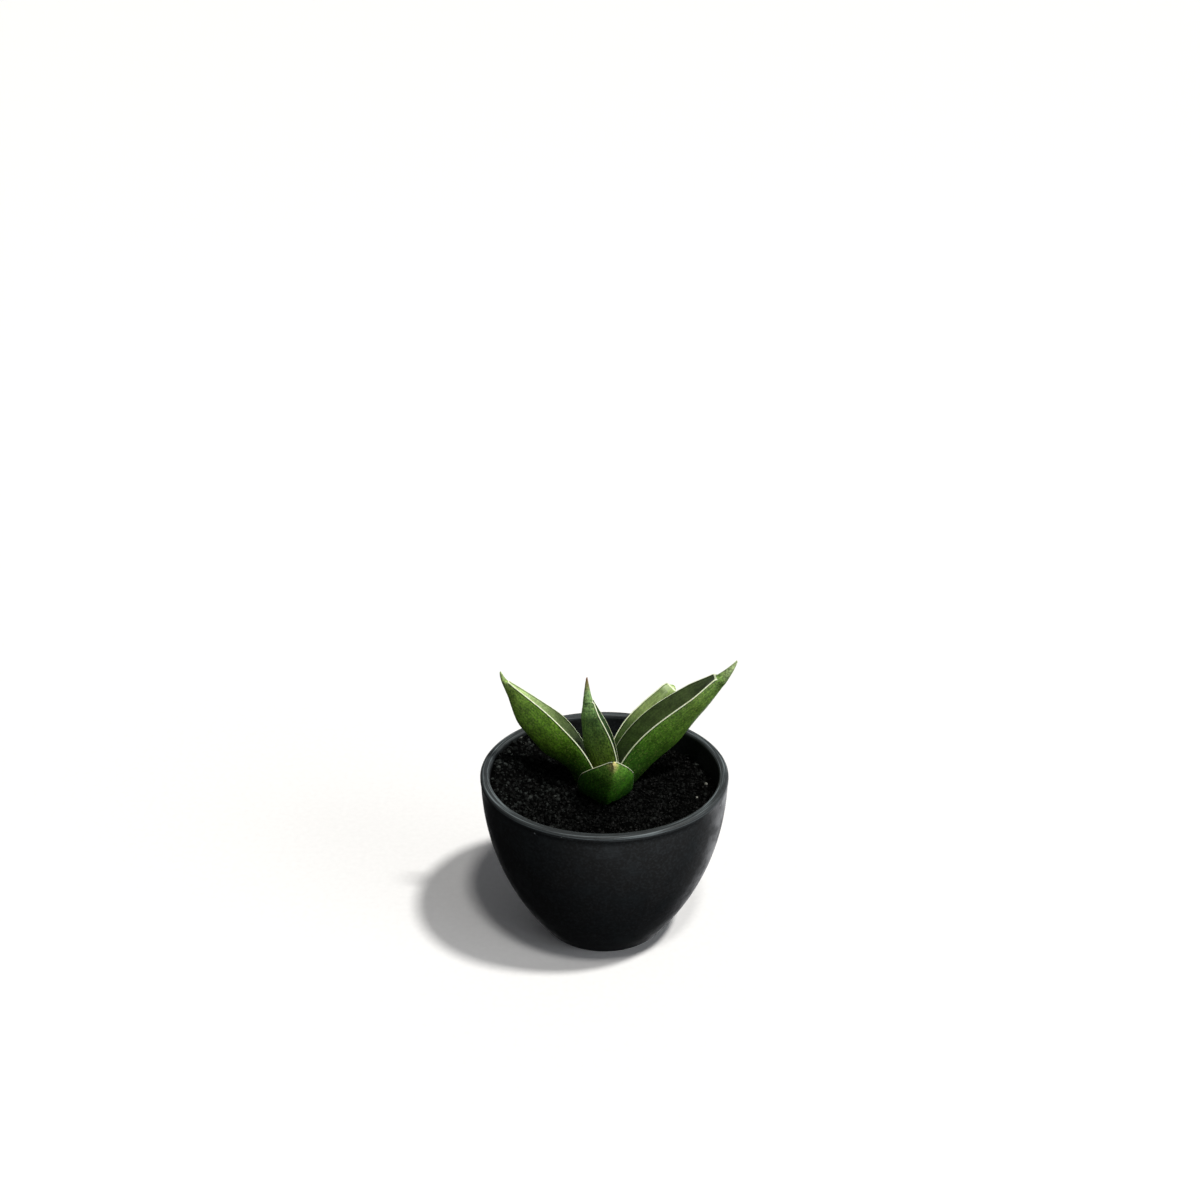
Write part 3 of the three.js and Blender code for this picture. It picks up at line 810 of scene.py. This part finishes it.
def skin_patterns(tree, name, from_bead, from_foot):
    """Small flecks, larger clouds, pale dots, and fine lines that run along the leaf."""
    place = add(tree, "TexCoord").outputs["Object"]
    drawn = add(tree, "Mapping", {
        "Vector": place, "Rotation": leaf_direction(name),
        "Scale": (FLECK_SIZE * MM, FLECK_SIZE * MM, FLECK_STRETCH * FLECK_SIZE * MM)},
        vector_type="TEXTURE")
    flecks = add(tree, "TexNoise", {"Vector": drawn, "Scale": 1.0, "Detail": 3.0, "Roughness": 0.7})
    clouds = add(tree, "TexNoise", {"Vector": drawn, "Scale": FLECK_SIZE / CLOUD_SIZE, "Detail": 3.0})
    cells = add(tree, "TexVoronoi", {"Vector": drawn, "Scale": FLECK_SIZE / DOT_SPACING})
    strip = add(tree, "CombineXYZ", (
        add(tree, "Math", (from_bead, 1 / LINE_WIDTH), **TIMES),
        add(tree, "Math", (from_foot, 0.05), **TIMES)))
    lines = add(tree, "TexNoise", {"Vector": strip, "Scale": 1.0, "Detail": 2.0})
    return flecks, clouds, cells.outputs["Distance"], lines


print("skin patterns:", FLECK_SIZE, "mm flecks and", CLOUD_SIZE, "mm clouds")


# %% Tones on a ramp of greens
def toned(tree, share, greens, *tones):
    """The greens of one side along the leaf, made darker and lighter by the tones."""
    value = tones[0]
    for tone in tones[1:]:
        value = add(tree, "Math", (value, tone), **TIMES)
    ramp = add(tree, "ValToRGB", (share,), tuple(zip(GREEN_PLACES, greens)))
    return add(tree, "HueSaturation", {"Value": value, "Color": ramp})


print("tones ready for", len(GREEN_PLACES), "greens a side")

# %% [markdown]
# The horn follows the bead on each side of the channel and closes round the channel's end. It is
# found from the distance to the bead and from the distance past that end, so its width in
# millimetres stays the same all the way, as on the real leaf.

# %% Where the horn lies
BEAD_HALF = 0.41
CLOSING_HALF = 0.42
FACE_STARTS = (-0.6, -0.48)
BACK_STARTS = (0.3, 0.6)


def near(tree, distance, half, blur):
    """One where the distance is under the half width, and nothing beyond the blur."""
    size = add(tree, "Math", (distance,), operation="ABSOLUTE")
    return add(tree, "MapRange", (size, half - blur, half + blur, 1.0, 0.0), **STEP)


def horn_places(tree, name, share, from_bead):
    """Masks of the whole channelled stretch, of the face in it, and of the horn round it."""
    leaf = LEAVES[name]
    past_end = add(tree, "Math", (share, leaf["length"], -leaf["length"] * leaf["stations"][-2]),
                   operation="MULTIPLY_ADD")
    channelled = add(tree, "MapRange", (past_end, -0.1, 0.6, 1.0, 0.0), **STEP)
    inside = add(tree, "MapRange", (from_bead, *FACE_STARTS, 1.0, 0.0), **STEP)
    on_top = add(tree, "MapRange", (from_bead, *BACK_STARTS, 1.0, 0.0), **STEP)
    bead = add(tree, "Math", (near(tree, from_bead, BEAD_HALF, 0.06), channelled), **TIMES)
    closing = add(tree, "Math", (near(tree, past_end, CLOSING_HALF, 0.15), on_top), **TIMES)
    face = add(tree, "Math", (inside, channelled), **TIMES)
    return channelled, face, add(tree, "Math", (bead, closing), operation="MAXIMUM")


print("horn", 2 * BEAD_HALF, "mm wide")


# %% The leaves' finish
HORN_PALE = "#f6fbe2"
HORN_DULL = "#d2dfb2"
SHADE_FROM_BEAD = 0.9
SHADE_BLUR = 0.25
# The heights, in millimetres from the foot, over which the foot's darkening fades out: partly soil,
# partly painted shade.
FOOT_SHADE_HEIGHTS = (4.0, 12.0)


def leaf_skin(name):
    material, tree = new_material("waxed_skin_of_" + name)
    marks = add(tree, "Attribute", attribute_name="leaf_place").outputs["Vector"]
    share, from_bead, from_foot = add(tree, "SeparateXYZ", (marks,)).outputs
    flecks, clouds, dot_distance, lines = skin_patterns(tree, name, from_bead, from_foot)
    channelled, on_face, on_horn = horn_places(tree, name, share, from_bead)

    cloudy = add(tree, "MapRange", (clouds, 0.35, 0.65, 0.84, 1.16), **STEP)
    lined = add(tree, "MapRange", (lines, 0.35, 0.65, 0.88, 1.1), **STEP)
    mottled = add(tree, "MapRange", (flecks, 0.34, 0.66, 0.5, 1.55), **STEP)
    smoother = add(tree, "MapRange", (flecks, 0.32, 0.68, 0.75, 1.28), **STEP)
    back = toned(tree, share, GREENS[name]["back"], mottled, cloudy, lined)
    face = toned(tree, share, GREENS[name]["face"], smoother, cloudy, lined)
    dots = add(tree, "MapRange", (dot_distance, 0.1, 0.36, 0.4, 0.0), **STEP)
    dotted = add(tree, "Mix", (dots, back, "#b4c86a"), **BLEND)
    green = add(tree, "Mix", (on_face, dotted, face), **BLEND)

    # The dark line beside the bead is partly the margin's own colour and partly painted shade along the
    # raised bead.
    beside_bead = near(tree, from_bead, SHADE_FROM_BEAD, SHADE_BLUR)
    edge_shade = add(tree, "Math", (add(tree, "Math", (beside_bead, channelled), **TIMES), 0.6), **TIMES)
    shaded = add(tree, "Mix", (edge_shade, green, "#15240c"), **BLEND)
    horn_tone = add(tree, "MapRange", (flecks, 0.35, 0.7), **STEP)
    horn = add(tree, "Mix", (horn_tone, HORN_DULL, HORN_PALE), **BLEND)
    edged = add(tree, "Mix", (on_horn, shaded, horn), **BLEND)
    # The foot is darkened towards the soil, partly by soil on it and partly as painted shade.
    soil_and_painted_shade_at_foot = add(tree, "MapRange", (from_foot, *FOOT_SHADE_HEIGHTS, 0.5, 0.0), **STEP)
    relief = add(tree, "Math", (flecks, lines), operation="ADD")
    shader = add(tree, "BsdfPrincipled", {
        "Base Color": add(tree, "Mix", (soil_and_painted_shade_at_foot, edged, "#0c160a"), **BLEND),
        "Roughness": add(tree, "MapRange", (flecks, 0.3, 0.7, 0.34, 0.5), **STEP),
        "IOR": 1.43, "Subsurface Weight": 0.1, "Subsurface Radius": (0.3, 0.6, 0.1),
        "Subsurface Scale": 1.2 * MM,
        "Normal": add(tree, "Bump", {"Height": relief, "Strength": 0.4, "Distance": 0.08 * MM})})
    add(tree, "OutputMaterial", (shader,))
    return material


for name in LEAVES:
    make_leaf(name, leaf_skin(name))

# %% [markdown]
# ## The crown
# The leaves grow from a squat stem with stout roots, and both are buried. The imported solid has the
# right shape already, so it only gets a finish: fibrous living tissue, pale and matt, with thread-like
# streaks and clinging dust.

# %% The crown's finish
FIBRE_SIZE = 0.6


def root_tissue():
    material, tree = new_material("fibrous_root_tissue")
    place = add(tree, "TexCoord").outputs["Object"]
    drawn = add(tree, "Mapping", {
        "Vector": place, "Scale": (1000 / FIBRE_SIZE, 1000 / FIBRE_SIZE, 150 / FIBRE_SIZE)})
    fibres = add(tree, "TexNoise", {"Vector": drawn, "Scale": 1.0, "Detail": 4.0})
    shader = add(tree, "BsdfPrincipled", {
        "Base Color": add(tree, "ValToRGB", (fibres,), ((0.3, "#6b5530"), (0.5, "#a8905a"),
                                                        (0.7, "#c9b98a"))),
        "Roughness": 0.8,
        "Normal": add(tree, "Bump", {"Height": fibres, "Strength": 0.5, "Distance": 0.15 * MM})})
    add(tree, "OutputMaterial", (shader,))
    return material


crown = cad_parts["crown"]
crown.data.materials.clear()
crown.data.materials.append(root_tissue())
print("crown finished")

# %% [markdown]
# ## Studio
# A pale matt floor that runs out of sight. The picture has two shadows beside the pot: one falls to
# the left and one to the back, so two lights stand high up, one on the right and one in front. A
# large soft light low on the right lifts the sides that face it. Suns are used for all three, because
# they light a wide floor evenly. The floor is kept out of the bounce light and the reflections,
# because its pale board would brighten the black pot from below.

# %% Floor
FLOOR_HALF = 30.0
floor_bm = bmesh.new()
bmesh.ops.create_grid(floor_bm, x_segments=1, y_segments=1, size=FLOOR_HALF)
floor_mesh = bpy.data.meshes.new("floor")
floor_bm.to_mesh(floor_mesh)
floor_bm.free()
floor = bpy.data.objects.new("floor", floor_mesh)
bpy.context.collection.objects.link(floor)
floor_finish, floor_tree = new_material("matt_studio_board")
floor_place = add(floor_tree, "TexCoord").outputs["Object"]
board_grain = add(floor_tree, "TexNoise", {"Vector": floor_place, "Scale": 400.0, "Detail": 3.0})
add(floor_tree, "OutputMaterial", (add(floor_tree, "BsdfPrincipled", {
    "Base Color": add(floor_tree, "ValToRGB", (board_grain,), ((0.3, "#f2f2f3"), (0.7, "#f6f6f7"))),
    "Roughness": 0.9}),))
floor_mesh.materials.append(floor_finish)
floor.visible_diffuse = False
floor.visible_glossy = False
print("floor is", 2 * FLOOR_HALF, "m wide")


# %% Lights
def sun(name, towards, strength, softness, tint="#ffffff"):
    """A sun that shines from the given direction, with a disc of the given width in degrees."""
    data = bpy.data.lights.new(name, "SUN")
    data.energy = strength
    data.angle = math.radians(softness)
    data.color = colour(tint)[:3]
    light = bpy.data.objects.new(name, data)
    light.rotation_euler = Vector(towards).to_track_quat("Z", "Y").to_euler()
    bpy.context.collection.objects.link(light)
    return light


sun("key", (33, -14, 76), 2.5, 6, "#fffdf8")
sun("front", (10, -30, 76), 0.9, 7, "#fffdf8")
sun("side", (85, -50, 30), 0.9, 40, "#f8fbff")


# %% [markdown]
# The room round the plant is dim in front, so that the black pot stays black, with one soft bright
# belt low in front that the pot's upper side mirrors as a broad sheen. Behind the plant the room is
# bright up to the horizon, so the rim and the leaves get pale edges there. The strength is worked
# out from the direction of each ray. What the camera itself sees is kept as pale as the floor.

# %% The room
# The belt is bright between two heights and the wall up to one, where the ray looks their way.
ROOM_LIGHT = 0.11
GROUND_LIGHT = 0.02
BELT_LIGHT = 0.6
BELT_TOWARDS = Vector((0.45, -0.89, 0)).normalized()
WALL_LIGHT = 2.6
WALL_TOWARDS = Vector((0.3, 0.95, -0.1)).normalized()
SEEN_LIGHT = 1.0

world = bpy.data.worlds.new("studio")
world.use_nodes = True
room = world.node_tree
room.nodes.clear()
look = add(room, "TexCoord").outputs["Generated"]
upward = add(room, "SeparateXYZ", (look,)).outputs["Z"]
plain = add(room, "MapRange", (upward, -0.3, 0.3, GROUND_LIGHT, ROOM_LIGHT), **STEP)
belt_foot = add(room, "MapRange", (upward, -0.85, -0.45), **STEP)
belt_top = add(room, "MapRange", (upward, -0.3, -0.1, 1.0, 0.0), **STEP)
facing_belt = add(room, "VectorMath", (look, BELT_TOWARDS), operation="DOT_PRODUCT")
belt_side = add(room, "MapRange", (facing_belt, 0.15, 0.9, 0.0, BELT_LIGHT), **STEP)
patch = add(room, "Math", (add(room, "Math", (belt_foot, belt_top), **TIMES), belt_side), **TIMES)
facing_wall = add(room, "VectorMath", (look, WALL_TOWARDS), operation="DOT_PRODUCT")
wall_side = add(room, "MapRange", (facing_wall, 0.6, 0.95, 0.0, WALL_LIGHT), **STEP)
wall_top = add(room, "MapRange", (upward, 0.02, 0.2, 1.0, 0.0), **STEP)
wall = add(room, "Math", (wall_side, wall_top), **TIMES)
dim = add(room, "Math", (add(room, "Math", (plain, patch), operation="ADD"), wall), operation="ADD")
seen = add(room, "LightPath").outputs["Is Camera Ray"]
strength = add(room, "Mix", (seen, dim, SEEN_LIGHT))
glow = add(room, "Background", {"Color": "#fbfcff", "Strength": strength})
add(room, "OutputWorld", (glow,))
bpy.context.scene.world = world
bpy.context.scene.view_settings.view_transform = "Standard"
print("room light", ROOM_LIGHT, "belt", BELT_LIGHT, "wall", WALL_LIGHT)

# %% [markdown]
# ## Finish

# %% Finish
print("scene ready")
